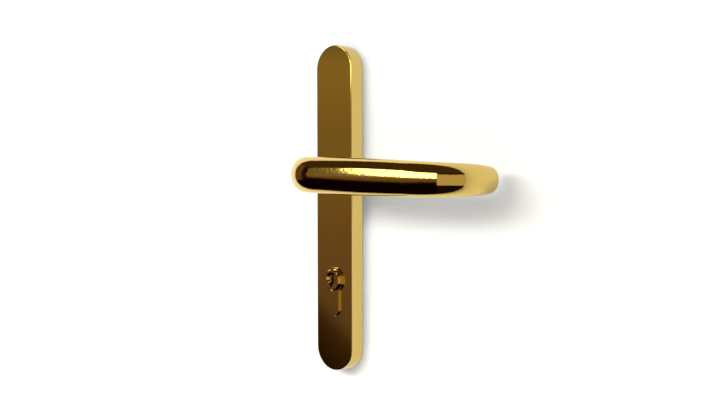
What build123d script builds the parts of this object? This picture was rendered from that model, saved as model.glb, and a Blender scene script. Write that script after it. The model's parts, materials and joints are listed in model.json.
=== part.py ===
from build123d import *
import os
from math import cos, radians, sin

# Lever handle on a long narrow backplate, with the euro profile double cylinder that it surrounds.
#
# Millimetres, +Z up. The origin is where the spindle axis meets the door face. +X is the way the lever
# points, -Y is out of the door towards the hand, and +Y is into the door. "Depth" is measured out of
# the door, along -Y.

# ---------------------------------------------------------------- driving dimensions

# backplate
plate_height = 220.5
plate_width = 31.8
plate_depth = 10.9
plate_mid_z = -23.2
plate_wall = 2.0
plate_skin = 3.4
plate_rim_radius = 0.8
bolt_spacing = 192.0
post_radius = 4.5
m5_core_radius = 2.1
rib_levels = (55.0, -36.0, -104.0)
rib_thickness = 1.6
rib_depth = 3.5
boss_radius = 2.6
boss_pilot_radius = 1.25
boss_pilot_length = 4.8
overcut = 1.0

# lever
neck_width = 18.0
neck_height = 19.2
elbow_start_height = 22.8
elbow_end_height = 23.1
grip_height = 23.3
bend_start_height = 21.8
bend_middle_height = 20.5
bend_end_height = 18.4
return_height = 15.3
grip_thickness = 17.4
bend_thickness = 14.0
return_thickness = 12.0
grip_front_depth = 63.4
lever_reach = 137.2
elbow_radius = 25.2
bend_radius = 31.2
return_end_depth = 10.8
return_end_rounding = 3.8
grip_droop = 1.76
bend_middle_angle = 45
neck_gap = 0.3
journal_radius = 8.0
journal_end_depth = 5.0
journal_groove_radius = 7.2
journal_groove_inset = 0.5
journal_groove_width = 1.0

# bearing of the neck in the plate
bush_wall = 1.2
bush_seat_gap = 0.05
bush_flange_reach = 3.0
bush_flange_thickness = 0.7
bush_flange_gap = 0.02
running_gap = 0.06
washer_reach = 2.4
washer_thickness = 0.3
washer_inset = 1.02
circlip_reach = 1.8
circlip_thickness = 0.88
circlip_gap_width = 5.0
circlip_gap_height = 6.0
seat_gap = 0.05

# spindle and its grub screw
spindle_side = 8.0
spindle_front_depth = 36.0
spindle_rear_y = 66.0
spindle_edge_radius = 0.5
spindle_end_chamfer = 0.4
spindle_play = 0.1
socket_end_gap = 0.4
grub_depth = 23.0
grub_radius = 2.45
grub_length = 6.0
grub_gap = 0.03
grub_chamfer = 0.5
grub_socket_radius = 1.45
grub_socket_depth = 3.0

# spring cassette behind the plate
cassette_width = 27.0
cassette_corner = 2.0
cassette_low_z = -13.8
cassette_high_z = 34.0
cassette_front_depth = 6.8
cassette_floor_depth = 5.0
cassette_spring_floor_depth = 5.8
cassette_rear_depth = 1.35
cassette_wall = 1.2
cassette_hole_reach = 3.4
stop_gap = 0.15
cover_front_depth = 1.3
cover_rear_depth = 0.3
cover_low_z = -19.6
cover_high_z = 39.8
cover_corner = 5.0
cover_hole_radius = 1.35
cassette_screw_levels = (-16.8, 37.0)
screw_head_radius = 2.2
screw_head_height = 0.9
screw_seat_radius = 2.35
screw_shank_radius = 1.2
screw_length = 5.0
screw_slot_length = 2.2
screw_slot_width = 0.5
screw_slot_depth = 0.7
screw_gap = 0.03
countersink_angle = 45
rotor_front_depth = 4.4
rotor_rear_depth = 1.5
rotor_radius = 7.0
rotor_collar_radius = 6.8
rotor_collar_gap = 0.1
lug_reach = 11.5
lug_half_height = 2.0
slider_front_depth = 4.4
slider_rear_depth = 1.5
slider_bar_low_z = 10.3
slider_bar_high_z = 13.0
slider_half_width = 11.8
slider_foot_inner_x = 7.5
slider_rest_gap = 0.25
slider_peg_radius = 1.0
slider_peg_height = 2.0
spring_x = 7.5
spring_depth = 3.55
spring_wire = 0.7
spring_mean_radius = 1.6
spring_coils = 8
spring_end_gap = 0.05

# euro profile double cylinder
lock_pitch = 72.0
barrel_radius = 8.5
leg_width = 10.0
leg_bottom = 24.5
half_length = 35.0
cylinder_proud = 1.3
cam_slot_width = 10.5
cam_slot_floor = 16.0
forend_screw_drop = 20.3
plug_radius = 6.5
plug_play = 0.05
plug_head_gap = 0.1
plug_head_radius = 7.25
plug_head_thickness = 1.9
plug_head_chamfer = 0.7
plug_tail_radius = 6.42
funnel_radius = 4.3
funnel_depth = 1.7
funnel_rise = 1.2
keyway_parts = ((0.0, -0.6, 1.4, 8.6), (0.5, 0.2, 1.4, 2.6), (-0.5, -2.8, 1.4, 1.6))
clip_groove_radius = 5.9
clip_groove_play = 0.25
clip_radius = 8.0
clip_thickness = 0.8
clip_gap = 0.12
clip_mouth = 7.0
cam_width = 8.2
cam_ring_radius = 8.45
cam_nose_radius = 15.0
cam_nose_width = 7.0
cam_rest_angle = 30.0
shuttle_thickness = 2.5
shuttle_height = 14.4
shuttle_length = 3.0
shuttle_play = 0.15
shuttle_rest_offset = -1.2
shuttle_chamfer = 0.3
tail_gap = 0.2
tail_slot_depth = 2.4
chamber_radius = 1.5
pin_radius = 1.4
pin_count = 5
pin_pitch = 4.5
first_pin_inset = 5.0
pin_point_height = 0.8
shear_gap = 0.12
key_pin_lengths = (3.6, 2.4, 3.2, 2.0, 2.8)
driver_pin_length = 5.2
chamber_cap_length = 2.2
chamber_cap_inset = 0.35
pin_spring_wire = 0.3
pin_spring_radius = 1.1
pin_spring_gap = 0.03
pin_spring_coils = 5
fit_gap = 0.15

# ---------------------------------------------------------------- derived places

cavity_depth = plate_depth - plate_skin
post_levels = (plate_mid_z + bolt_spacing / 2, plate_mid_z - bolt_spacing / 2)
grip_axis_depth = grip_front_depth - grip_thickness / 2
elbow_start_depth = grip_axis_depth - elbow_radius
bend_start_x = lever_reach - bend_thickness / 2 - bend_radius
return_x = bend_start_x + bend_radius
bend_end_depth = grip_axis_depth - bend_radius
bend_offset = bend_radius * sin(radians(bend_middle_angle))
grip_middle_x = (elbow_radius + bend_start_x) / 2
middle_thickness = (grip_thickness + bend_thickness) / 2
handle_sections = (
    (0, elbow_start_depth, (0, -1, 0), elbow_start_height, grip_thickness),
    (elbow_radius, grip_axis_depth, (1, 0, 0), elbow_end_height, grip_thickness),
    (grip_middle_x, grip_axis_depth, (1, 0, 0), grip_height, middle_thickness),
    (bend_start_x, grip_axis_depth, (1, 0, 0), bend_start_height, bend_thickness),
    (bend_start_x + bend_offset, bend_end_depth + bend_offset, (1, 1, 0), bend_middle_height, bend_thickness),
    (return_x, bend_end_depth, (0, 1, 0), bend_end_height, bend_thickness),
    (return_x, return_end_depth, (0, 1, 0), return_height, return_thickness),
)
bush_bore = journal_radius + running_gap
lock_z = -lock_pitch
cylinder_front_y = -plate_depth - cylinder_proud
cylinder_rear_y = cylinder_front_y + 2 * half_length
cam_y = cylinder_front_y + half_length
leg_straight = leg_bottom - leg_width / 2
shear_z = lock_z - plug_radius

os.makedirs("parts", exist_ok=True)


def depth_plane(depth):
    """Plane parallel to the door, `depth` in front of it: local x is +X, local y is +Z, normal is -Y."""
    return Plane.XZ.offset(depth)


def y_plane(y):
    """Plane parallel to the door at height y, facing into the door: extrusions from it run along +Y."""
    return Plane(origin=(0, y, 0), x_dir=(1, 0, 0), z_dir=(0, 1, 0))


def finish(builder, name):
    """Label a finished piece and write it as its own STEP file."""
    builder.part.label = name
    export_step(builder.part, f"parts/{name}.step")


def stadium(width_trim=0.0):
    """Round-ended outline of the backplate, its width and height trimmed all round."""
    with BuildSketch(mode=Mode.PRIVATE) as outline:
        SlotOverall(plate_height - 2 * width_trim, plate_width - 2 * width_trim, rotation=90)
    return outline.sketch


def euro_profile(clearance=0.0):
    """Euro profile about the cylinder's axis: a round barrel over a round-bottomed leg."""
    with BuildSketch(mode=Mode.PRIVATE) as outline:
        Circle(barrel_radius + clearance)
        with Locations((0, -leg_straight / 2)):
            Rectangle(leg_width + 2 * clearance, leg_straight)
        with Locations((0, -leg_straight)):
            Circle(leg_width / 2 + clearance)
    return outline.sketch


# ---------------------------------------------------------------- backplate and neck bearing

with BuildPart() as faceplate:
    with BuildSketch(Plane.XZ):
        with Locations((0, plate_mid_z)):
            add(stadium())
    extrude(amount=plate_depth)
    fillet(faceplate.faces().sort_by(Axis.Y)[0].edges(), radius=plate_rim_radius)
    with BuildSketch(Plane.XZ):
        with Locations((0, plate_mid_z)):
            add(stadium(plate_wall))
    extrude(amount=cavity_depth, mode=Mode.SUBTRACT)
    # bolt posts, with blind M5 threads open to the door
    with BuildSketch(Plane.XZ):
        with Locations(*[(0, z) for z in post_levels]):
            Circle(post_radius)
    extrude(amount=cavity_depth)
    with BuildSketch(Plane.XZ):
        with Locations(*[(0, z) for z in post_levels]):
            Circle(m5_core_radius)
    extrude(amount=cavity_depth, mode=Mode.SUBTRACT)
    # short bosses for the cassette screws
    with BuildSketch(depth_plane(cover_front_depth)):
        with Locations(*[(0, z) for z in cassette_screw_levels]):
            Circle(boss_radius)
    extrude(amount=cavity_depth - cover_front_depth)
    with BuildSketch(depth_plane(cover_front_depth)):
        with Locations(*[(0, z) for z in cassette_screw_levels]):
            Circle(boss_pilot_radius)
    extrude(amount=boss_pilot_length, mode=Mode.SUBTRACT)
    # cross ribs that stiffen the skin
    with BuildSketch(depth_plane(cavity_depth - rib_depth)):
        with Locations(*[(0, z) for z in rib_levels]):
            Rectangle(plate_width - plate_wall, rib_thickness)
    extrude(amount=rib_depth)
    # neck hole and euro profile window
    with BuildSketch(depth_plane(cavity_depth - overcut)):
        Circle(journal_radius + bush_wall + bush_seat_gap)
        with Locations((0, lock_z)):
            add(euro_profile(fit_gap))
    extrude(amount=plate_skin + 2 * overcut, mode=Mode.SUBTRACT)
finish(faceplate, "faceplate")

with BuildPart() as neck_bush:
    with BuildSketch(depth_plane(cavity_depth - bush_flange_thickness)):
        Circle(journal_radius + bush_wall)
    extrude(amount=plate_skin + bush_flange_thickness)
    with BuildSketch(depth_plane(cavity_depth - bush_flange_thickness)):
        Circle(journal_radius + bush_flange_reach)
    extrude(amount=bush_flange_thickness - bush_flange_gap)
    with BuildSketch(depth_plane(cavity_depth - overcut)):
        Circle(bush_bore)
    extrude(amount=plate_skin + 2 * overcut, mode=Mode.SUBTRACT)
finish(neck_bush, "neck_bush")

# ---------------------------------------------------------------- lever

with BuildPart() as handle_shape:
    # one sweep round the elbow, along the grip, round the bend and back towards the door
    with BuildLine():
        CenterArc((elbow_radius, -elbow_start_depth), elbow_radius, 180, 90)
        Line((elbow_radius, -grip_axis_depth), (bend_start_x, -grip_axis_depth))
        CenterArc((bend_start_x, -bend_end_depth), bend_radius, 270, 90)
        Line((return_x, -bend_end_depth), (return_x, -return_end_depth))
    for x, depth, tangent, height, thickness in handle_sections:
        with BuildSketch(Plane(origin=(x, -depth, 0), x_dir=(0, 0, 1), z_dir=tangent)):
            Ellipse(height / 2, thickness / 2)
    sweep(multisection=True)
    fillet(handle_shape.faces().sort_by(Axis.X)[-1].edges().sort_by(Axis.Y)[-1], radius=return_end_rounding)
    # neck, nearly round where it meets the plate
    with BuildSketch(depth_plane(plate_depth + neck_gap)):
        Ellipse(neck_width / 2, neck_height / 2)
    with BuildSketch(depth_plane(elbow_start_depth)):
        Ellipse(grip_thickness / 2, elbow_start_height / 2)
    loft()

with BuildPart() as lever:
    add(handle_shape.part, rotation=(0, grip_droop, 0))
    # round journal that turns in the bush, with a groove for the circlip
    with BuildSketch(depth_plane(journal_end_depth)):
        Circle(journal_radius)
    extrude(amount=plate_depth + neck_gap - journal_end_depth)
    with BuildSketch(depth_plane(journal_end_depth + journal_groove_inset)):
        Circle(journal_radius + overcut)
        Circle(journal_groove_radius, mode=Mode.SUBTRACT)
    extrude(amount=journal_groove_width, mode=Mode.SUBTRACT)
    # square socket for the spindle and the grub screw's hole from below
    with BuildSketch(depth_plane(journal_end_depth)):
        Rectangle(spindle_side + spindle_play, spindle_side + spindle_play)
    extrude(amount=spindle_front_depth + socket_end_gap - journal_end_depth, mode=Mode.SUBTRACT)
    with BuildSketch(Plane.XY.offset(-neck_height)):
        with Locations((0, -grub_depth)):
            Circle(grub_radius + seat_gap)
    extrude(amount=neck_height - spindle_side / 2, mode=Mode.SUBTRACT)
finish(lever, "lever")

with BuildPart() as neck_washer:
    with BuildSketch(depth_plane(cavity_depth - washer_inset)):
        Circle(journal_radius + washer_reach)
        Circle(bush_bore, mode=Mode.SUBTRACT)
    extrude(amount=washer_thickness)
finish(neck_washer, "neck_washer")

with BuildPart() as neck_circlip:
    with BuildSketch(depth_plane(journal_end_depth + journal_groove_inset + seat_gap)):
        Circle(journal_radius + circlip_reach)
        Circle(journal_groove_radius + seat_gap, mode=Mode.SUBTRACT)
        with Locations((0, -journal_radius)):
            Rectangle(circlip_gap_width, circlip_gap_height, mode=Mode.SUBTRACT)
    extrude(amount=circlip_thickness)
finish(neck_circlip, "neck_circlip")

with BuildPart() as spindle:
    with BuildSketch(y_plane(-spindle_front_depth)):
        RectangleRounded(spindle_side, spindle_side, spindle_edge_radius)
    extrude(amount=spindle_front_depth + spindle_rear_y)
    chamfer(spindle.faces().sort_by(Axis.Y)[-1].edges(), length=spindle_end_chamfer)
finish(spindle, "spindle")

with BuildPart() as grub_screw:
    with BuildSketch(Plane.XY.offset(-spindle_side / 2 - grub_gap)):
        with Locations((0, -grub_depth)):
            Circle(grub_radius)
    extrude(amount=-grub_length)
    chamfer(grub_screw.faces().sort_by(Axis.Z)[-1].edges(), length=grub_chamfer)
    with BuildSketch(Plane.XY.offset(-spindle_side / 2 - grub_length)):
        with Locations((0, -grub_depth)):
            RegularPolygon(grub_socket_radius, 6)
    extrude(amount=grub_socket_depth, mode=Mode.SUBTRACT)
finish(grub_screw, "grub_screw")

# ---------------------------------------------------------------- spring cassette

cassette_mid_z = (cassette_low_z + cassette_high_z) / 2
cassette_height = cassette_high_z - cassette_low_z
chamber_half_width = cassette_width / 2 - cassette_wall
chamber_high_z = cassette_high_z - cassette_wall
chamber_low_z = cassette_low_z + cassette_wall

with BuildPart() as cassette_housing:
    with BuildSketch(depth_plane(cassette_rear_depth)):
        with Locations((0, cassette_mid_z)):
            RectangleRounded(cassette_width, cassette_height, cassette_corner)
    extrude(amount=cassette_front_depth - cassette_rear_depth)
    with BuildSketch(depth_plane(cassette_rear_depth)):
        with Locations((0, cassette_mid_z)):
            Rectangle(2 * chamber_half_width, cassette_height - 2 * cassette_wall)
    extrude(amount=cassette_floor_depth - cassette_rear_depth, mode=Mode.SUBTRACT)
    # deeper bay for the springs
    with BuildSketch(depth_plane(cassette_rear_depth)):
        with Locations((0, (slider_bar_high_z + chamber_high_z) / 2)):
            Rectangle(2 * chamber_half_width, chamber_high_z - slider_bar_high_z)
    extrude(amount=cassette_spring_floor_depth - cassette_rear_depth, mode=Mode.SUBTRACT)
    # opening round the neck's circlip and bush flange
    with BuildSketch(depth_plane(cassette_rear_depth)):
        Circle(journal_radius + cassette_hole_reach)
    extrude(amount=cassette_front_depth, mode=Mode.SUBTRACT)
    # block that stops the rotor's lug with the lever level
    stop_inner_x = slider_foot_inner_x + fit_gap
    stop_top_z = -lug_half_height - stop_gap
    with BuildSketch(depth_plane(cassette_rear_depth)):
        with Locations((-(stop_inner_x + chamber_half_width) / 2, (stop_top_z + chamber_low_z) / 2)):
            Rectangle(chamber_half_width - stop_inner_x, stop_top_z - chamber_low_z)
    extrude(amount=rotor_front_depth - cassette_rear_depth)
finish(cassette_housing, "cassette_housing")

with BuildPart() as cassette_cover:
    with BuildSketch(depth_plane(cover_rear_depth)):
        with Locations((0, (cover_low_z + cover_high_z) / 2)):
            RectangleRounded(cassette_width, cover_high_z - cover_low_z, cover_corner)
        Circle(rotor_collar_radius + rotor_collar_gap, mode=Mode.SUBTRACT)
        with Locations(*[(0, z) for z in cassette_screw_levels]):
            Circle(cover_hole_radius, mode=Mode.SUBTRACT)
    extrude(amount=cover_front_depth - cover_rear_depth)
    # countersinks for the two screws
    for level in cassette_screw_levels:
        with BuildSketch(depth_plane(cover_rear_depth)):
            with Locations((0, level)):
                Circle(screw_seat_radius)
        extrude(amount=screw_head_height, taper=countersink_angle, mode=Mode.SUBTRACT)
finish(cassette_cover, "cassette_cover")

with BuildPart() as cassette_screws:
    for level in cassette_screw_levels:
        with BuildSketch(depth_plane(cover_rear_depth + screw_gap)):
            with Locations((0, level)):
                Circle(screw_head_radius)
        extrude(amount=screw_head_height, taper=countersink_angle)
        with BuildSketch(depth_plane(cover_rear_depth + screw_gap)):
            with Locations((0, level)):
                Circle(screw_shank_radius)
        extrude(amount=screw_length)
        with BuildSketch(depth_plane(cover_rear_depth)):
            with Locations((0, level)):
                Rectangle(screw_slot_length, screw_slot_width)
                Rectangle(screw_slot_width, screw_slot_length)
        extrude(amount=screw_slot_depth, mode=Mode.SUBTRACT)
finish(cassette_screws, "cassette_screws")

with BuildPart() as rotor:
    with BuildSketch(depth_plane(rotor_rear_depth)):
        Circle(rotor_radius)
        with Locations((-lug_reach / 2, 0)):
            Rectangle(lug_reach, 2 * lug_half_height)
    extrude(amount=rotor_front_depth - rotor_rear_depth)
    with BuildSketch(depth_plane(cover_rear_depth + rotor_collar_gap)):
        Circle(rotor_collar_radius)
    extrude(amount=rotor_rear_depth - cover_rear_depth)
    with BuildSketch(Plane.XZ):
        Rectangle(spindle_side + spindle_play, spindle_side + spindle_play)
    extrude(amount=rotor_front_depth + overcut, mode=Mode.SUBTRACT)
finish(rotor, "rotor")

foot_bottom_z = lug_half_height + slider_rest_gap

with BuildPart() as spring_slider:
    with BuildSketch(depth_plane(slider_rear_depth)):
        with Locations((0, (slider_bar_low_z + slider_bar_high_z) / 2)):
            Rectangle(2 * slider_half_width, slider_bar_high_z - slider_bar_low_z)
        with Locations((-(slider_half_width + slider_foot_inner_x) / 2, (foot_bottom_z + slider_bar_high_z) / 2)):
            Rectangle(slider_half_width - slider_foot_inner_x, slider_bar_high_z - foot_bottom_z)
    extrude(amount=slider_front_depth - slider_rear_depth)
    # pegs that centre the springs
    with BuildSketch(Plane.XY.offset(slider_bar_high_z)):
        with Locations((-spring_x, -spring_depth), (spring_x, -spring_depth)):
            Circle(slider_peg_radius)
    extrude(amount=slider_peg_height)
finish(spring_slider, "spring_slider")

for side, side_x in (("left", -spring_x), ("right", spring_x)):
    spring_low_z = slider_bar_high_z + spring_wire / 2 + spring_end_gap
    spring_height = chamber_high_z - spring_wire / 2 - spring_end_gap - spring_low_z
    with BuildPart() as return_spring:
        with BuildLine() as coil:
            Helix(
                pitch=spring_height / spring_coils,
                height=spring_height,
                radius=spring_mean_radius,
                center=(side_x, -spring_depth, spring_low_z),
            )
        with BuildSketch(Plane(origin=coil.line @ 0, z_dir=coil.line % 0)):
            Circle(spring_wire / 2)
        sweep(is_frenet=True)
    finish(return_spring, f"return_spring_{side}")

# ---------------------------------------------------------------- euro profile double cylinder


def pin_levels(side):
    """Places of the pin chambers along Y on one side of the cam: side is -1 outside, +1 inside."""
    face_y = cylinder_front_y if side < 0 else cylinder_rear_y
    return [face_y - side * (first_pin_inset + pin_pitch * i) for i in range(pin_count)]


all_pin_levels = pin_levels(-1) + pin_levels(1)

with BuildPart() as cylinder_body:
    with BuildSketch(y_plane(cylinder_front_y)):
        with Locations((0, -lock_z)):
            add(euro_profile().rotate(Axis.Z, 180))
    extrude(amount=2 * half_length)
    with BuildSketch(y_plane(cylinder_front_y)):
        with Locations((0, -lock_z)):
            Circle(plug_radius + plug_play)
    extrude(amount=2 * half_length, mode=Mode.SUBTRACT)
    # slot for the cam, open above the bridge that carries the forend screw
    with BuildSketch(Plane(origin=(0, cam_y, 0), x_dir=(1, 0, 0), z_dir=(0, -1, 0))):
        with Locations((0, lock_z + (barrel_radius + overcut - cam_slot_floor) / 2)):
            Rectangle(2 * (barrel_radius + overcut), barrel_radius + overcut + cam_slot_floor)
    extrude(amount=cam_slot_width / 2, both=True, mode=Mode.SUBTRACT)
    # pin chambers, drilled up through the leg
    with BuildSketch(Plane.XY.offset(lock_z - leg_bottom)):
        with Locations(*[(0, y) for y in all_pin_levels]):
            Circle(chamber_radius)
    extrude(amount=leg_bottom - plug_radius + overcut, mode=Mode.SUBTRACT)
    # threaded cross hole for the forend screw
    with BuildSketch(Plane.YZ):
        with Locations((cam_y, lock_z - forend_screw_drop)):
            Circle(m5_core_radius)
    extrude(amount=leg_width, both=True, mode=Mode.SUBTRACT)
finish(cylinder_body, "cylinder_body")


def plug(side):
    """One plug: head outside the body, plain barrel, clip groove and slotted tail inside the cam.

    It is drawn for the outer side, along +Y from its head, and turned about the cam for the inner side.
    """
    body_end_y = cam_y - cam_slot_width / 2
    groove_end_y = body_end_y + clip_thickness + clip_groove_play
    tail_end_y = cam_y - shuttle_length / 2 - tail_gap
    face_y = cylinder_front_y - plug_head_gap - plug_head_thickness
    with BuildPart(mode=Mode.PRIVATE) as piece:
        with BuildSketch(y_plane(face_y)):
            with Locations((0, -lock_z)):
                Circle(plug_head_radius)
        extrude(amount=plug_head_thickness)
        chamfer(piece.faces().sort_by(Axis.Y)[0].edges(), length=plug_head_chamfer)
        for start_y, end_y, radius in (
            (cylinder_front_y - plug_head_gap, body_end_y, plug_radius),
            (body_end_y, groove_end_y, clip_groove_radius),
            (groove_end_y, tail_end_y, plug_tail_radius),
        ):
            with BuildSketch(y_plane(start_y)):
                with Locations((0, -lock_z)):
                    Circle(radius)
            extrude(amount=end_y - start_y)
        # funnel that leads the key in
        with BuildSketch(y_plane(face_y)):
            with Locations((0, -lock_z - funnel_rise)):
                Circle(funnel_radius)
        extrude(amount=funnel_depth, taper=countersink_angle, mode=Mode.SUBTRACT)
        # keyway: a narrow blade slot with two wards
        with BuildSketch(y_plane(face_y - overcut)):
            for x, rise, width, height in keyway_parts:
                with Locations((x, -lock_z - rise)):
                    Rectangle(width, height)
        extrude(amount=body_end_y - cylinder_front_y, mode=Mode.SUBTRACT)
        # pin holes from below
        with BuildSketch(Plane.XY.offset(lock_z - plug_radius - overcut)):
            with Locations(*[(0, y) for y in pin_levels(-1)]):
                Circle(chamber_radius)
        extrude(amount=plug_radius, mode=Mode.SUBTRACT)
        # slot in the tail, for the coupling shuttle
        with BuildSketch(y_plane(tail_end_y - tail_slot_depth)):
            with Locations((0, -lock_z)):
                Rectangle(shuttle_thickness + 2 * shuttle_play, 2 * plug_radius + overcut)
        extrude(amount=tail_slot_depth + overcut, mode=Mode.SUBTRACT)
    return piece.part if side < 0 else mirror(piece.part, about=Plane.XZ.offset(-cam_y))


def c_clip():
    """Snap ring on the outer plug's groove, open at the top."""
    start_y = cam_y - cam_slot_width / 2 + clip_gap
    with BuildPart(mode=Mode.PRIVATE) as piece:
        with BuildSketch(y_plane(start_y)):
            with Locations((0, -lock_z)):
                Circle(clip_radius)
                Circle(clip_groove_radius + seat_gap, mode=Mode.SUBTRACT)
            with Locations((0, -lock_z - clip_radius)):
                Rectangle(clip_mouth, clip_radius + overcut, mode=Mode.SUBTRACT)
        extrude(amount=clip_thickness)
    return piece.part


def key_pins(side):
    """Pins in the plug, their flat ends at the shear line and their points in the keyway."""
    with BuildPart(mode=Mode.PRIVATE) as piece:
        for y, length in zip(pin_levels(side), key_pin_lengths):
            with BuildSketch(Plane.XY.offset(shear_z + shear_gap)):
                with Locations((0, y)):
                    Circle(pin_radius)
            extrude(amount=length - pin_point_height)
            with BuildSketch(Plane.XY.offset(shear_z + shear_gap + length - pin_point_height)):
                with Locations((0, y)):
                    Circle(pin_radius)
            extrude(amount=pin_point_height, taper=countersink_angle)
    return piece.part


def chamber_cylinders(side, top_z, length, radius):
    """One plain pin in each chamber of a side, hanging down from top_z."""
    with BuildPart(mode=Mode.PRIVATE) as piece:
        with BuildSketch(Plane.XY.offset(top_z)):
            with Locations(*[(0, y) for y in pin_levels(side)]):
                Circle(radius)
        extrude(amount=-length)
    return piece.part


driver_top_z = shear_z - shear_gap
driver_bottom_z = driver_top_z - driver_pin_length
cap_bottom_z = lock_z - leg_bottom + chamber_cap_inset
cap_top_z = cap_bottom_z + chamber_cap_length
pin_spring_low_z = cap_top_z + pin_spring_wire / 2 + pin_spring_gap
pin_spring_height = driver_bottom_z - pin_spring_wire / 2 - pin_spring_gap - pin_spring_low_z


def pin_spring(y):
    """Small compression spring under one driver pin."""
    with BuildPart(mode=Mode.PRIVATE) as piece:
        with BuildLine() as coil:
            Helix(
                pitch=pin_spring_height / pin_spring_coils,
                height=pin_spring_height,
                radius=pin_spring_radius,
                center=(0, y, pin_spring_low_z),
            )
        with BuildSketch(Plane(origin=coil.line @ 0, z_dir=coil.line % 0)):
            Circle(pin_spring_wire / 2)
        sweep(is_frenet=True)
    return piece.part


for side, side_name in ((-1, "outer"), (1, "inner")):
    with BuildPart() as side_plug:
        add(plug(side))
    finish(side_plug, f"{side_name}_plug")

    with BuildPart() as plug_clip:
        add(c_clip() if side < 0 else mirror(c_clip(), about=Plane.XZ.offset(-cam_y)))
    finish(plug_clip, f"{side_name}_plug_clip")

    with BuildPart() as side_key_pins:
        add(key_pins(side))
    finish(side_key_pins, f"{side_name}_key_pins")

    with BuildPart() as side_driver_pins:
        add(chamber_cylinders(side, driver_top_z, driver_pin_length, pin_radius))
    finish(side_driver_pins, f"{side_name}_driver_pins")

    with BuildPart() as side_pin_springs:
        for y in pin_levels(side):
            add(pin_spring(y))
    finish(side_pin_springs, f"{side_name}_pin_springs")

    with BuildPart() as side_chamber_caps:
        add(chamber_cylinders(side, cap_top_z, chamber_cap_length, chamber_radius))
    finish(side_chamber_caps, f"{side_name}_chamber_caps")

with BuildPart() as cam:
    nose_x = -sin(radians(cam_rest_angle))
    nose_z = -cos(radians(cam_rest_angle))
    with BuildSketch(Plane(origin=(0, cam_y, lock_z), x_dir=(1, 0, 0), z_dir=(0, -1, 0))):
        Circle(cam_ring_radius)
        with Locations(Location((nose_x * cam_nose_radius / 2, nose_z * cam_nose_radius / 2), -cam_rest_angle)):
            Rectangle(cam_nose_width, cam_nose_radius)
        Circle(cam_nose_radius, mode=Mode.INTERSECT)
        Circle(plug_radius, mode=Mode.SUBTRACT)
        Rectangle(shuttle_thickness + 2 * shuttle_play, shuttle_height + 2 * shuttle_play, mode=Mode.SUBTRACT)
    extrude(amount=cam_width / 2, both=True)
finish(cam, "cam")

with BuildPart() as coupling_shuttle:
    shuttle_y = cam_y + shuttle_rest_offset
    with BuildSketch(Plane(origin=(0, shuttle_y, lock_z), x_dir=(1, 0, 0), z_dir=(0, -1, 0))):
        Rectangle(shuttle_thickness, shuttle_height)
    extrude(amount=shuttle_length / 2, both=True)
    chamfer(coupling_shuttle.edges().filter_by(Axis.X), length=shuttle_chamfer)
finish(coupling_shuttle, "coupling_shuttle")
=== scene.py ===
import json
import math

import bpy
from mathutils import Matrix, Vector


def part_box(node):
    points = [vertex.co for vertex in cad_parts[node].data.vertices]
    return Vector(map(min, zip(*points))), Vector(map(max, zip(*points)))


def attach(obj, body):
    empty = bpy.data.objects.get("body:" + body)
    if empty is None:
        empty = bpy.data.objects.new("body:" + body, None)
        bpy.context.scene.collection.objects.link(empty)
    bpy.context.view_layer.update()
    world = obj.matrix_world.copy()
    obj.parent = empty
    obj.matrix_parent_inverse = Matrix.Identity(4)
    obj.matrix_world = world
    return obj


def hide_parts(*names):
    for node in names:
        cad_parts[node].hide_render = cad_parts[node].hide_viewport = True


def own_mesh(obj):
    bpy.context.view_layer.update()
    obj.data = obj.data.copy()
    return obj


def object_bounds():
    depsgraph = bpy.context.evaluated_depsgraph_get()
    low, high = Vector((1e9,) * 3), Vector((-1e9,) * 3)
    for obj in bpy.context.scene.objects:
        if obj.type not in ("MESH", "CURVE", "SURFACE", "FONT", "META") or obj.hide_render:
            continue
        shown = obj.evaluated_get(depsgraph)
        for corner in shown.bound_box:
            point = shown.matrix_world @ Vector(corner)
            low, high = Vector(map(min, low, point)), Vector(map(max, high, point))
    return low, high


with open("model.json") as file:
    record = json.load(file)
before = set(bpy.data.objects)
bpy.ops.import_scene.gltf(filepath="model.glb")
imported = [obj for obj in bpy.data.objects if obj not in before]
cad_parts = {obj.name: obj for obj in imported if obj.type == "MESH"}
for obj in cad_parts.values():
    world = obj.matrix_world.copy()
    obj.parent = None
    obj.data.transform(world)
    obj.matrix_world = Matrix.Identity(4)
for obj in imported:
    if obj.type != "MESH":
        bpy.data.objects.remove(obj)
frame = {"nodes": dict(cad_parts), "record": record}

cad_low, cad_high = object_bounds()

MM = 0.001

# ---------------------------------------------------------------- camera

# angles in degrees, lens and sensor in millimetres
CAMERA_AZIMUTH = 41.8
CAMERA_DISTANCE = 840.0 * MM
CAMERA_HEIGHT = -0.2 * MM
CAMERA_PAN = -0.50
CAMERA_TILT = -1.21
CAMERA_ROLL = -0.14
CAMERA_LENS = 62.127
SENSOR_WIDTH = 36.0
CLIP_START = 0.01
CLIP_END = 20.0


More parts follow.
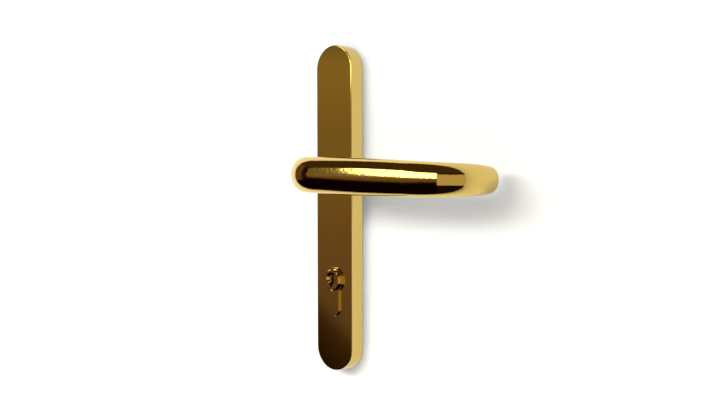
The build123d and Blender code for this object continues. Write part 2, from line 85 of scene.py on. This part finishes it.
def make_camera():
    """Camera to the right of the handle, looking back across it at the plate."""
    azimuth = math.radians(CAMERA_AZIMUTH)
    pan = azimuth + math.radians(CAMERA_PAN)
    tilt = math.radians(CAMERA_TILT)
    roll = math.radians(CAMERA_ROLL)
    forward = Vector((-math.sin(pan) * math.cos(tilt), math.cos(pan) * math.cos(tilt), math.sin(tilt)))
    level_right = Vector((math.cos(pan), math.sin(pan), 0.0))
    level_up = level_right.cross(forward)
    right = level_right * math.cos(roll) + level_up * math.sin(roll)
    up = level_up * math.cos(roll) - level_right * math.sin(roll)
    data = bpy.data.cameras.new("camera")
    data.sensor_width = SENSOR_WIDTH
    data.lens = CAMERA_LENS
    data.clip_start = CLIP_START
    data.clip_end = CLIP_END
    camera = bpy.data.objects.new("camera", data)
    bpy.context.scene.collection.objects.link(camera)
    place = Vector((math.sin(azimuth), -math.cos(azimuth), 0.0)) * CAMERA_DISTANCE
    place.z = CAMERA_HEIGHT
    camera.matrix_world = Matrix.Translation(place) @ Matrix((right, up, -forward)).transposed().to_4x4()
    bpy.context.scene.camera = camera


# ---------------------------------------------------------------- node helpers


class Graph:
    """Short names for building shader nodes: each call adds one node and returns its output socket."""

    def __init__(self, tree):
        self.tree = tree
        tree.nodes.clear()

    def node(self, kind, **settings):
        made = self.tree.nodes.new(kind)
        for name, value in settings.items():
            setattr(made, name, value)
        return made

    def set(self, socket, value):
        if isinstance(value, bpy.types.NodeSocket):
            self.tree.links.new(value, socket)
        else:
            socket.default_value = value

    def math(self, operation, first, second=None):
        made = self.node("ShaderNodeMath", operation=operation)
        self.set(made.inputs[0], first)
        if second is not None:
            self.set(made.inputs[1], second)
        return made.outputs[0]

    def split(self, vector):
        made = self.node("ShaderNodeSeparateXYZ")
        self.set(made.inputs[0], vector)
        return made.outputs

    def ramp(self, value, low, high):
        """0 below low, 1 above high, smooth between."""
        made = self.node("ShaderNodeMapRange", interpolation_type="SMOOTHSTEP")
        self.set(made.inputs["Value"], value)
        made.inputs["From Min"].default_value = low
        made.inputs["From Max"].default_value = high
        return made.outputs["Result"]

    def band(self, value, low, high, soft):
        """1 between low and high, falling to 0 over soft at each side."""
        rise = self.ramp(value, low - soft, low + soft)
        fall = self.ramp(value, high - soft, high + soft)
        return self.math("MULTIPLY", rise, self.math("SUBTRACT", 1.0, fall))

    def mix(self, factor, first, second):
        made = self.node("ShaderNodeMix", data_type="RGBA")
        self.set(made.inputs["Factor"], factor)
        self.set(made.inputs["A"], first)
        self.set(made.inputs["B"], second)
        return made.outputs["Result"]

    def mix_shader(self, factor, first, second):
        made = self.node("ShaderNodeMixShader")
        self.set(made.inputs[0], factor)
        self.set(made.inputs[1], first)
        self.set(made.inputs[2], second)
        return made.outputs[0]

    def background(self, colour, strength=1.0):
        made = self.node("ShaderNodeBackground")
        self.set(made.inputs["Color"], colour)
        made.inputs["Strength"].default_value = strength
        return made.outputs[0]

    def noise(self, vector, scale, detail=2.0, roughness=0.5):
        made = self.node("ShaderNodeTexNoise")
        self.set(made.inputs["Vector"], vector)
        made.inputs["Scale"].default_value = scale
        made.inputs["Detail"].default_value = detail
        made.inputs["Roughness"].default_value = roughness
        return made.outputs["Fac"]

    def stretch(self, vector, scale):
        made = self.node("ShaderNodeMapping")
        self.set(made.inputs["Vector"], vector)
        made.inputs["Scale"].default_value = scale
        return made.outputs["Vector"]

    def between(self, value, low, high):
        """Maps 0..1 onto low..high."""
        made = self.node("ShaderNodeMapRange")
        self.set(made.inputs["Value"], value)
        made.inputs["To Min"].default_value = low
        made.inputs["To Max"].default_value = high
        return made.outputs["Result"]

    def relief(self, height, strength, distance):
        """Normal of a surface with this height on it."""
        made = self.node("ShaderNodeBump")
        self.set(made.inputs["Strength"], strength)
        made.inputs["Distance"].default_value = distance
        self.set(made.inputs["Height"], height)
        return made.outputs["Normal"]


def new_material(name):
    """Material with an empty graph, and the object coordinates in it."""
    made = bpy.data.materials.new(name)
    made.use_nodes = True
    g = Graph(made.node_tree)
    return made, g, g.node("ShaderNodeTexCoord").outputs["Object"]


def grey(value):
    return (value, value, value, 1.0)


# ---------------------------------------------------------------- studio seen in the metal

AMBIENT = 0.50

# Angles are in degrees. Azimuth is 0 straight out of the door and grows towards +X; elevation is above the
# horizon. A pair of angles is where a tone begins and where it is full.
FRONT_BLACK = (0.004, 0.001, 0.0, 1)
SLOPED_TONES = (
    (-16.4, -9.9, (0.020, 0.010, 0.003, 1)),
    (-9.0, -8.0, (0.036, 0.016, 0.004, 1)),
    (-7.6, -6.3, (0.140, 0.085, 0.060, 1)),
)
LEVEL_TONES = (
    (-6.3, -3.4, (0.168, 0.098, 0.058, 1)),
    (-3.4, 1.0, (0.215, 0.150, 0.066, 1)),
    (1.6, 4.8, (0.265, 0.190, 0.076, 1)),
    (5.2, 6.2, (0.150, 0.125, 0.054, 1)),
)
TONE_SLOPE = 1.1
TONE_SLOPE_AZIMUTH = -42.2
TONE_SLOPE_RANGE = (-1.5, 5.0)

SOFTBOX_LIGHT = (5.0, 4.6, 3.6, 1)
SOFTBOX_ELEVATION = (4.4, 28.0)
SOFTBOX_EDGE = 0.8
SOFTBOX_LEFT = (-37.7, -36.3)
SOFTBOX_SLANT = 0.15
SOFTBOX_SLANT_FROM = 4.6
SOFTBOX_SLANT_MOST = 1.1

FAR_LEFT_AZIMUTH = (-47.2, -45.8)
FAR_LEFT_ELEVATION = (-16.0, -10.0)
FAR_LEFT_DARK_FROM = (-66.0, -58.0)
FAR_LEFT_BROWN = (0.13, 0.07, 0.05, 1)
FAR_LEFT_DARK = (0.02, 0.008, 0.003, 1)

RIGHT_AZIMUTH = (31.0, 33.5)
RIGHT_ELEVATION = (-27.4, 22.6)
RIGHT_EDGE = 2.0
RIGHT_BROWN = (0.56, 0.46, 0.30, 1)
RIGHT_DARK = (0.01, 0.005, 0.002, 1)

CEILING_ELEVATION = (27.5, 29.5)
CEILING_DARK = (0.055, 0.030, 0.010, 1)

# along Y, as the share of the direction that points into the door
BEHIND_DOOR_PLANE = (-0.06, 0.02)
BEHIND_PALE = 0.85


def front_left_tones(g, azimuth, elevation):
    """From below the horizon up: black, warm browns that grow lighter, and a darker one above them.

    The low tones slope with azimuth.
    """
    aside = g.math("MAXIMUM", g.math("ADD", azimuth, -TONE_SLOPE_AZIMUTH), TONE_SLOPE_RANGE[0])
    aside = g.math("MINIMUM", aside, TONE_SLOPE_RANGE[1])
    sloped = g.math("ADD", elevation, g.math("MULTIPLY", aside, TONE_SLOPE))
    colour = FRONT_BLACK
    for height, tones in ((sloped, SLOPED_TONES), (elevation, LEVEL_TONES)):
        for low, high, tone in tones:
            colour = g.mix(g.ramp(height, low, high), colour, tone)
    return colour


def softbox(g, x, elevation):
    """1 inside the softbox. Its left side follows the grip, and leans to the left as it rises."""
    slant = g.math("MAXIMUM", g.math("SUBTRACT", elevation, SOFTBOX_SLANT_FROM), 0.0)
    slant = g.math("MINIMUM", g.math("MULTIPLY", slant, SOFTBOX_SLANT), SOFTBOX_SLANT_MOST)
    along_grip = g.math("DEGREES", g.math("ARCSINE", x))
    from_left = g.ramp(g.math("ADD", along_grip, slant), *SOFTBOX_LEFT)
    return g.math("MULTIPLY", from_left, g.band(elevation, *SOFTBOX_ELEVATION, SOFTBOX_EDGE))


def room_colour(g):
    """What polished metal sees: a dark warm room in front with one softbox, and pale walls elsewhere."""
    x, y, z = g.split(g.node("ShaderNodeTexCoord").outputs["Generated"])
    azimuth = g.math("DEGREES", g.math("ARCTAN2", x, g.math("MULTIPLY", y, -1.0)))
    elevation = g.math("DEGREES", g.math("ARCSINE", z))
    colour = front_left_tones(g, azimuth, elevation)
    # far left: much darker, below the softbox
    far_left = g.math("SUBTRACT", 1.0, g.ramp(azimuth, *FAR_LEFT_AZIMUTH))
    far_left = g.math("MULTIPLY", far_left, g.ramp(elevation, *FAR_LEFT_ELEVATION))
    darker = g.mix(g.ramp(azimuth, *FAR_LEFT_DARK_FROM), FAR_LEFT_BROWN, FAR_LEFT_DARK)
    colour = g.mix(far_left, colour, darker)
    colour = g.mix(softbox(g, x, elevation), colour, SOFTBOX_LIGHT)
    # front right: plain grey-brown wall of the room
    right = g.mix(g.band(elevation, *RIGHT_ELEVATION, RIGHT_EDGE), RIGHT_DARK, RIGHT_BROWN)
    colour = g.mix(g.ramp(azimuth, *RIGHT_AZIMUTH), colour, right)
    colour = g.mix(g.ramp(elevation, *CEILING_ELEVATION), colour, CEILING_DARK)
    return g.mix(g.ramp(y, *BEHIND_DOOR_PLANE), colour, grey(BEHIND_PALE))


def make_world():
    """The room for reflections, an even light for diffuse rays, and white where the camera sees it."""
    world = bpy.data.worlds.new("studio")
    bpy.context.scene.world = world
    world.use_nodes = True
    g = Graph(world.node_tree)
    path = g.node("ShaderNodeLightPath")
    lit = g.mix_shader(
        path.outputs["Is Diffuse Ray"], g.background(room_colour(g)), g.background(grey(1.0), AMBIENT)
    )
    seen = g.mix_shader(path.outputs["Is Camera Ray"], lit, g.background(grey(1.0)))
    g.set(g.node("ShaderNodeOutputWorld").inputs["Surface"], seen)


# ---------------------------------------------------------------- wall, floor and light

WALL_SIZE = 4.0
WALL_GAP = 0.3 * MM
WALL_PAINT = (0.90, 0.915)
WALL_MOTTLE = 3.0
WALL_UNSEEN_WITHIN = 14.0 * MM

# painted shade: the wall's white as metal reflects it, darker than its paint near the handle and darker
# again far from it along X
WALL_SHADED_IN_METAL = 0.80
WALL_SHADED_IN_METAL_FAR = 0.67
WALL_REFLECTED_SHADE_ALONG_X = (0.03, 0.30)

FLOOR_SIZE = 8.0
FLOOR_DROP = 0.30
FLOOR_PAINT = (0.78, 0.80)
FLOOR_MOTTLE = 4.0

KEY_WIDTH = 1.70
KEY_HEIGHT = 0.30
KEY_POWER = 11.7
KEY_PLACE = Vector((-0.56, -1.17, 0.40))
KEY_AIM = Vector((-0.56, 0.0, -0.02))


def plane(name, size, place, turn, material):
    """Square staged plane, with its front along +Z before it is turned."""
    half = size / 2
    mesh = bpy.data.meshes.new(name)
    corners = [(-half, -half, 0), (half, -half, 0), (half, half, 0), (-half, half, 0)]
    mesh.from_pydata(corners, [], [(0, 1, 2, 3)])
    mesh.materials.append(material)
    made = bpy.data.objects.new(name, mesh)
    made.matrix_world = Matrix.Translation(place) @ turn
    bpy.context.scene.collection.objects.link(made)
    return made


def wall_paint_and_reflected_shade():
    """White paint with its front side only. Where metal reflects it, its colour carries painted shade,
    darker still far along X.

    Rays that come from right beside it pass through, so that it doesn't close the plate's open back.
    """
    paint, g, place = new_material("wall_paint_and_reflected_shade")
    path = g.node("ShaderNodeLightPath")
    painted = g.mix(g.noise(place, WALL_MOTTLE), *map(grey, WALL_PAINT))
    # painted shade: in reflections the wall is darker than its paint, and darker again far along X
    far = g.ramp(g.split(place)["X"], *WALL_REFLECTED_SHADE_ALONG_X)
    reflected_shade = g.mix(far, grey(WALL_SHADED_IN_METAL), grey(WALL_SHADED_IN_METAL_FAR))
    diffuse = g.node("ShaderNodeBsdfDiffuse")
    g.set(diffuse.inputs["Color"], g.mix(path.outputs["Is Glossy Ray"], painted, reflected_shade))
    near = g.math("LESS_THAN", path.outputs["Ray Length"], WALL_UNSEEN_WITHIN)
    near = g.math("MULTIPLY", near, g.math("SUBTRACT", 1.0, path.outputs["Is Camera Ray"]))
    unseen = g.math("MAXIMUM", near, g.node("ShaderNodeNewGeometry").outputs["Backfacing"])
    surface = g.mix_shader(unseen, diffuse.outputs[0], g.node("ShaderNodeBsdfTransparent").outputs[0])
    g.set(g.node("ShaderNodeOutputMaterial").inputs["Surface"], surface)
    return paint


def floor_paint():
    paint, g, place = new_material("floor_paint")
    diffuse = g.node("ShaderNodeBsdfDiffuse")
    g.set(diffuse.inputs["Color"], g.mix(g.noise(place, FLOOR_MOTTLE), *map(grey, FLOOR_PAINT)))
    g.set(g.node("ShaderNodeOutputMaterial").inputs["Surface"], diffuse.outputs[0])
    return paint


def make_backdrop():
    """White wall at the door plane, seen only from the front, and a pale floor well below."""
    upright = Matrix.Rotation(math.radians(90), 4, "X")
    plane("wall", WALL_SIZE, (0, WALL_GAP, 0), upright, wall_paint_and_reflected_shade())
    floor = plane("floor", FLOOR_SIZE, (0, 0, cad_low.z - FLOOR_DROP), Matrix.Identity(4), floor_paint())
    floor.visible_glossy = False


def make_light():
    """Wide soft light from the left above that makes the shadow on the wall. Metal doesn't reflect it."""
    data = bpy.data.lights.new("key", "AREA")
    data.shape = "ELLIPSE"
    data.size = KEY_WIDTH
    data.size_y = KEY_HEIGHT
    data.energy = KEY_POWER
    light = bpy.data.objects.new("key", data)
    turn = (KEY_AIM - KEY_PLACE).to_track_quat("-Z", "Y")
    light.matrix_world = Matrix.Translation(KEY_PLACE) @ turn.to_matrix().to_4x4()
    light.visible_glossy = False
    light.visible_camera = False
    bpy.context.scene.collection.objects.link(light)


# ---------------------------------------------------------------- materials

# noise scales per metre
METAL_CLOUD = 60.0
METAL_STREAK = 2200.0
PLASTIC_CLOUD = 90.0
PLASTIC_PITS = 3500.0

CLOUD_DETAIL = 3.0
STREAK_DETAIL = 4.0
STREAK_ROUGHNESS = 0.6
STREAK_SHARE = 0.6
METAL_RELIEF = 0.02 * MM
PLASTIC_BUMP = 0.25
PLASTIC_RELIEF = 0.03 * MM

GOLD_LIGHT = (0.785, 0.565, 0.162)
GOLD_DARK = (0.765, 0.550, 0.156)
GOLD_ROUGHNESS = (0.045, 0.070)

# where along Y the plating of a polished front ends, inside the backplate's skin
POLISHED_FRONT_END = (-9.0 * MM, -8.0 * MM)

ROUND_GRAIN = (1, 1, 1)
DRAWN_GRAIN = (1, 0.04, 1)

METALS = {
    "polished_gold": dict(
        light=GOLD_LIGHT, dark=GOLD_DARK, roughness=GOLD_ROUGHNESS, grain=0.3, bump=0.006
    ),
    "plug_brass": dict(
        light=(0.78, 0.57, 0.19), dark=(0.72, 0.52, 0.16), roughness=(0.06, 0.12), grain=0.5, bump=0.02
    ),
    "cylinder_brass": dict(
        light=(0.74, 0.56, 0.24), dark=(0.66, 0.49, 0.20), roughness=(0.22, 0.36), grain=0.9, bump=0.15,
        grain_stretch=DRAWN_GRAIN, polished_front=True
    ),
    "zinc_steel": dict(
        light=(0.62, 0.63, 0.64), dark=(0.50, 0.51, 0.53), roughness=(0.25, 0.42), grain=0.6, bump=0.15
    ),
    "spring_steel": dict(
        light=(0.50, 0.50, 0.52), dark=(0.38, 0.38, 0.40), roughness=(0.18, 0.30), grain=0.5, bump=0.02
    ),
    "black_oxide": dict(
        light=(0.055, 0.055, 0.06), dark=(0.03, 0.03, 0.033), roughness=(0.30, 0.45), grain=0.5, bump=0.1
    ),
    "sintered_steel": dict(
        light=(0.26, 0.25, 0.24), dark=(0.15, 0.15, 0.15), roughness=(0.42, 0.62), grain=0.8, bump=0.4
    ),
}
PLASTICS = {
    "nylon": dict(light=(0.80, 0.79, 0.75), dark=(0.72, 0.71, 0.67), roughness=(0.38, 0.50)),
    "black_nylon": dict(light=(0.035, 0.035, 0.036), dark=(0.022, 0.022, 0.022), roughness=(0.35, 0.50)),
}


def metal(name, light, dark, roughness, grain, bump, grain_stretch=ROUND_GRAIN, polished_front=False):
    """Bare or plated metal: two close tones, uneven gloss, and fine grain in the surface.

    A polished front is plated and buffed where it stands in or before the backplate's skin.
    """
    made, g, place = new_material(name)
    cloud = g.noise(place, METAL_CLOUD, CLOUD_DETAIL)
    streak = g.noise(g.stretch(place, grain_stretch), METAL_STREAK, STREAK_DETAIL, STREAK_ROUGHNESS)
    uneven = g.math(
        "ADD", g.math("MULTIPLY", cloud, 1 - STREAK_SHARE), g.math("MULTIPLY", streak, STREAK_SHARE)
    )
    tone = g.mix(cloud, (*dark, 1.0), (*light, 1.0))
    gloss = g.between(uneven, *roughness)
    strength = bump
    if polished_front:
        inside = g.ramp(g.split(place)["Y"], *POLISHED_FRONT_END)
        tone = g.mix(inside, g.mix(cloud, (*GOLD_DARK, 1.0), (*GOLD_LIGHT, 1.0)), tone)
        plated = g.between(uneven, *GOLD_ROUGHNESS)
        gloss = g.math("ADD", plated, g.math("MULTIPLY", inside, g.math("SUBTRACT", gloss, plated)))
        strength = g.math("MULTIPLY", inside, bump)
    height = g.math("ADD", g.math("MULTIPLY", streak, grain), g.math("MULTIPLY", cloud, 1 - grain))
    surface = g.node("ShaderNodeBsdfPrincipled")
    surface.inputs["Metallic"].default_value = 1.0
    g.set(surface.inputs["Base Color"], tone)
    g.set(surface.inputs["Roughness"], gloss)
    g.set(surface.inputs["Normal"], g.relief(height, strength, METAL_RELIEF))
    g.set(g.node("ShaderNodeOutputMaterial").inputs["Surface"], surface.outputs[0])
    return made


def plastic(name, light, dark, roughness):
    """Moulded plastic: fine spark-eroded texture and a soft sheen."""
    made, g, place = new_material(name)
    cloud = g.noise(place, PLASTIC_CLOUD, CLOUD_DETAIL)
    pits = g.noise(place, PLASTIC_PITS)
    surface = g.node("ShaderNodeBsdfPrincipled")
    g.set(surface.inputs["Base Color"], g.mix(cloud, (*dark, 1.0), (*light, 1.0)))
    g.set(surface.inputs["Roughness"], g.between(pits, *roughness))
    g.set(surface.inputs["Normal"], g.relief(pits, PLASTIC_BUMP, PLASTIC_RELIEF))
    g.set(g.node("ShaderNodeOutputMaterial").inputs["Surface"], surface.outputs[0])
    return made


def make_materials():
    made = {name: metal(name, **look) for name, look in METALS.items()}
    made.update({name: plastic(name, **look) for name, look in PLASTICS.items()})
    return made


def dress_nodes(materials):
    """Gives every CAD node the material of its slot."""
    for row in frame["record"]["subparts"]:
        node = frame["nodes"][row["node"]]
        node.data.materials.clear()
        node.data.materials.append(materials[row["material_slot"]])


# ---------------------------------------------------------------- return springs

SPRING_TURNS = 8
SPRING_STEPS = 28
WIRE_POINTS = 12
WIRE_RADIUS = 0.35 * MM
SHARP_EDGE = math.radians(50)


def coil_points(low, high):
    """Rings of wire points along a helix that fills the box, from its bottom to its top."""
    radius = (high.x - low.x) / 2 - WIRE_RADIUS
    rise = high.z - low.z - 2 * WIRE_RADIUS
    middle = (low + high) / 2
    steps = SPRING_TURNS * SPRING_STEPS
    points = []
    for step in range(steps + 1):
        angle = 2 * math.pi * step / SPRING_STEPS
        outwards = Vector((math.cos(angle), math.sin(angle), 0))
        on_axis = Vector((middle.x, middle.y, low.z + WIRE_RADIUS + rise * step / steps))
        for point in range(WIRE_POINTS):
            around = 2 * math.pi * point / WIRE_POINTS
            lift = Vector((0, 0, WIRE_RADIUS * math.sin(around)))
            points.append(on_axis + outwards * (radius + WIRE_RADIUS * math.cos(around)) + lift)
    return points


def tube_faces(rings):
    """Quads between neighbouring rings of wire points, and a cap at each end, all facing outwards."""
    faces = []
    for ring in range(rings - 1):
        here, beyond = ring * WIRE_POINTS, (ring + 1) * WIRE_POINTS
        for point in range(WIRE_POINTS):
            beside = (point + 1) % WIRE_POINTS
            faces.append((here + point, beyond + point, beyond + beside, here + beside))
    last = (rings - 1) * WIRE_POINTS
    faces.append(tuple(range(WIRE_POINTS)))
    faces.append(tuple(reversed(range(last, last + WIRE_POINTS))))
    return faces


def make_spring(node, material):
    """Round-wire spring in the node's place, attached to the root body; the CAD node is hidden."""
    low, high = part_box(node)
    mesh = bpy.data.meshes.new(node + "_wire")
    mesh.from_pydata(coil_points(low, high), [], tube_faces(SPRING_TURNS * SPRING_STEPS + 1))
    mesh.update()
    mesh.shade_smooth()
    mesh.set_sharp_from_angle(angle=SHARP_EDGE)
    mesh.materials.append(material)
    wire = bpy.data.objects.new(node + "_wire", mesh)
    bpy.context.scene.collection.objects.link(wire)
    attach(wire, "root")
    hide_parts(node)
    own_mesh(wire)


# ---------------------------------------------------------------- build

bpy.context.scene.view_settings.view_transform = "Standard"
bpy.context.scene.cycles.caustics_reflective = False
make_camera()
make_world()
make_backdrop()
make_light()
looks = make_materials()
dress_nodes(looks)
for spring in ("return_spring_left", "return_spring_right"):
    make_spring(spring, looks["spring_steel"])
